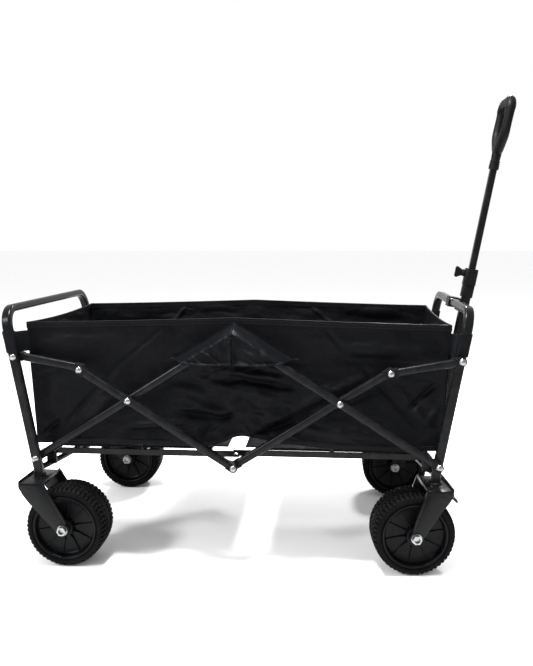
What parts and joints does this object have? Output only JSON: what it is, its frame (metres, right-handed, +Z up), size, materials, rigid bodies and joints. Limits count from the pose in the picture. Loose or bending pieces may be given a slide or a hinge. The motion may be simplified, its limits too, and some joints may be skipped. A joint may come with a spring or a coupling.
{
  "type": "folding camp wagon",
  "caption": "Folding camp wagon: fabric basket on a scissor frame, swivelling front castors with brakes, and a telescoping pull handle.",
  "frame": {"origin": "middle of the overall length and width, on the ground", "axes": "+X towards the pull handle, +Y to the far side, +Z up"},
  "size_m": [1.0918, 0.63, 0.9988],
  "materials": {
    "frame_paint": "satin black powder coat",
    "black_plastic": "moulded black, light texture",
    "grip_plastic": "soft-touch black",
    "rim_plastic": "moulded black",
    "tyre": "dull dark grey rubber",
    "bright_steel": "zinc plated",
    "basket_cloth": "coated black oxford weave",
    "mat_cloth": "padded black oxford weave"
  },
  "bodies": {
    "rear_frame": {"rear_hoop": "frame_paint", "rear_crossbar": "frame_paint", "rear_floor_hinge_tube": "frame_paint", "rear_forks_near": "frame_paint", "rear_forks_far": "frame_paint", "rear_leg_plugs": "black_plastic", "rear_axles": "bright_steel", "rear_leg_rivets": "bright_steel", "rear_corner_sleeves": "basket_cloth", "basket_rear_wall": "basket_cloth", "basket_side_walls": "basket_cloth"},
    "rear_rising": {"rear_rising_bars": "frame_paint", "rear_rising_caps": "black_plastic", "rear_rising_rivets": "bright_steel", "rear_hub_flaps": "basket_cloth"},
    "rear_falling": {"rear_falling_bars": "frame_paint", "rear_falling_caps": "black_plastic", "rear_falling_rivets": "bright_steel"},
    "front_falling": {"front_falling_bars": "frame_paint", "front_falling_caps": "black_plastic", "front_falling_rivets": "bright_steel"},
    "front_rising": {"front_rising_bars": "frame_paint", "front_rising_caps": "black_plastic", "front_hub_flaps": "basket_cloth"},
    "front_frame": {"front_hoop": "frame_paint", "front_crossbar": "frame_paint", "front_floor_hinge_tube": "frame_paint", "front_leg_plugs": "black_plastic", "castor_kingpins": "bright_steel", "front_leg_rivets": "bright_steel", "front_corner_sleeves": "basket_cloth", "basket_front_wall": "basket_cloth", "handle_bracket": "frame_paint", "handle_clip": "black_plastic"},
    "rear_link": {"rear_links": "frame_paint"},
    "front_link": {"front_links": "frame_paint", "front_link_rivets": "bright_steel"},
    "rear_floor": {"rear_floor_frame": "frame_paint", "rear_mat_boards": "mat_cloth"},
    "front_floor": {"front_floor_frame": "frame_paint", "front_mat_boards": "mat_cloth"},
    "rear_near_wheel": {"tyre_rear_near": "tyre", "rim_rear_near": "rim_plastic"},
    "rear_far_wheel": {"tyre_rear_far": "tyre", "rim_rear_far": "rim_plastic"},
    "near_castor": {"castor_near_fork": "frame_paint", "castor_near_axle": "bright_steel"},
    "far_castor": {"castor_far_fork": "frame_paint", "castor_far_axle": "bright_steel"},
    "front_near_wheel": {"tyre_front_near": "tyre", "rim_front_near": "rim_plastic"},
    "front_far_wheel": {"tyre_front_far": "tyre", "rim_front_far": "rim_plastic"},
    "near_pedal": {"near_brake_pedal": "frame_paint"},
    "far_pedal": {"far_brake_pedal": "frame_paint"},
    "handle_lower": {"lower_pole": "frame_paint", "pole_clamp": "black_plastic"},
    "clamp_screw": {"clamp_knob": "black_plastic"},
    "handle_upper": {"upper_pole": "frame_paint", "handle_grip": "grip_plastic"}
  },
  "joints": [
    {"name": "fold", "type": "hinge", "parent": "rear_frame", "child": "rear_rising", "pos_m": [-0.47811, 0, 0.22393], "axis": [0, -1, 0], "range_deg": [0, 38], "deforming": ["basket_side_walls"]},
    {"name": "rear_crossing", "type": "hinge", "parent": "rear_rising", "child": "rear_falling", "pos_m": [-0.27505, 0, 0.3528], "axis": [0, 1, 0], "range_deg": [0, 76]},
    {"name": "lower_hub", "type": "hinge", "parent": "rear_falling", "child": "front_falling", "pos_m": [-0.05383, 0, 0.21241], "axis": [0, -1, 0], "range_deg": [0, 76]},
    {"name": "front_crossing", "type": "hinge", "parent": "front_falling", "child": "front_rising", "pos_m": [0.16738, 0, 0.3528], "axis": [0, 1, 0], "range_deg": [0, 76]},
    {"name": "front_leg_pivot", "type": "hinge", "parent": "front_rising", "child": "front_frame", "pos_m": [0.37044, 0, 0.22393], "axis": [0, -1, 0], "range_deg": [0, 38]},
    {"name": "rear_link_pivot", "type": "hinge", "parent": "rear_frame", "child": "rear_link", "pos_m": [-0.51771, 0, 0.44353], "axis": [0, -1, 0], "range_deg": [0, 66.99]},
    {"name": "front_link_pivot", "type": "hinge", "parent": "front_frame", "child": "front_link", "pos_m": [0.41004, 0, 0.44353], "axis": [0, 1, 0], "range_deg": [0, 66.99]},
    {"name": "rear_floor_hinge", "type": "hinge", "parent": "rear_frame", "child": "rear_floor", "pos_m": [-0.45883, 0, 0.229], "axis": [0, -1, 0], "range_deg": [0, 87.41]},
    {"name": "front_floor_hinge", "type": "hinge", "parent": "front_frame", "child": "front_floor", "pos_m": [0.35117, 0, 0.229], "axis": [0, 1, 0], "range_deg": [0, 87.41]},
    {"name": "rear_near_wheel_spin", "type": "hinge", "parent": "rear_frame", "child": "rear_near_wheel", "pos_m": [-0.408, -0.254, 0.085], "axis": [0, 1, 0], "continuous": true},
    {"name": "rear_far_wheel_spin", "type": "hinge", "parent": "rear_frame", "child": "rear_far_wheel", "pos_m": [-0.408, 0.254, 0.085], "axis": [0, 1, 0], "continuous": true},
    {"name": "near_castor_swivel", "type": "hinge", "parent": "front_frame", "child": "near_castor", "pos_m": [0.36434, -0.236, 0.184], "axis": [0, 0, 1], "continuous": true},
    {"name": "front_near_wheel_spin", "type": "hinge", "parent": "near_castor", "child": "front_near_wheel", "pos_m": [0.31859, -0.24081, 0.085], "axis": [-0.1045, 0.9945, 0], "continuous": true},
    {"name": "near_brake", "type": "hinge", "parent": "near_castor", "child": "near_pedal", "pos_m": [0.38423, -0.23391, 0.169], "axis": [-0.1045, 0.9945, 0], "range_deg": [0, 15]},
    {"name": "far_castor_swivel", "type": "hinge", "parent": "front_frame", "child": "far_castor", "pos_m": [0.36434, 0.236, 0.184], "axis": [0, 0, 1], "continuous": true},
    {"name": "front_far_wheel_spin", "type": "hinge", "parent": "far_castor", "child": "front_far_wheel", "pos_m": [0.31834, 0.236, 0.085], "axis": [0, 1, 0], "continuous": true},
    {"name": "far_brake", "type": "hinge", "parent": "far_castor", "child": "far_pedal", "pos_m": [0.38434, 0.236, 0.169], "axis": [0, 1, 0], "range_deg": [0, 15]},
    {"name": "handle_swing", "type": "hinge", "parent": "front_frame", "child": "handle_lower", "pos_m": [0.39817, 0, 0.228], "axis": [0, 1, 0], "range_deg": [0, 78]},
    {"name": "handle_slide", "type": "slide", "parent": "handle_lower", "child": "handle_upper", "axis": [0.1771, 0, 0.9842], "range_m": [-0.22, 0]},
    {"name": "clamp_turn", "type": "hinge", "parent": "handle_lower", "child": "clamp_screw", "pos_m": [0.46617, 0, 0.60593], "axis": [-0.9842, 0, 0.1771], "range_deg": [0, 180]}
  ],
  "couplings": [
    {"joint": "rear_crossing", "follows": "fold", "ratio": 2},
    {"joint": "lower_hub", "follows": "fold", "ratio": 2},
    {"joint": "front_crossing", "follows": "fold", "ratio": 2},
    {"joint": "front_leg_pivot", "follows": "fold", "ratio": 1},
    {"joint": "rear_link_pivot", "follows": "fold", "ratio": 1.7627},
    {"joint": "front_link_pivot", "follows": "fold", "ratio": 1.7627},
    {"joint": "rear_floor_hinge", "follows": "fold", "ratio": 2.3},
    {"joint": "front_floor_hinge", "follows": "fold", "ratio": 2.3}
  ]
}
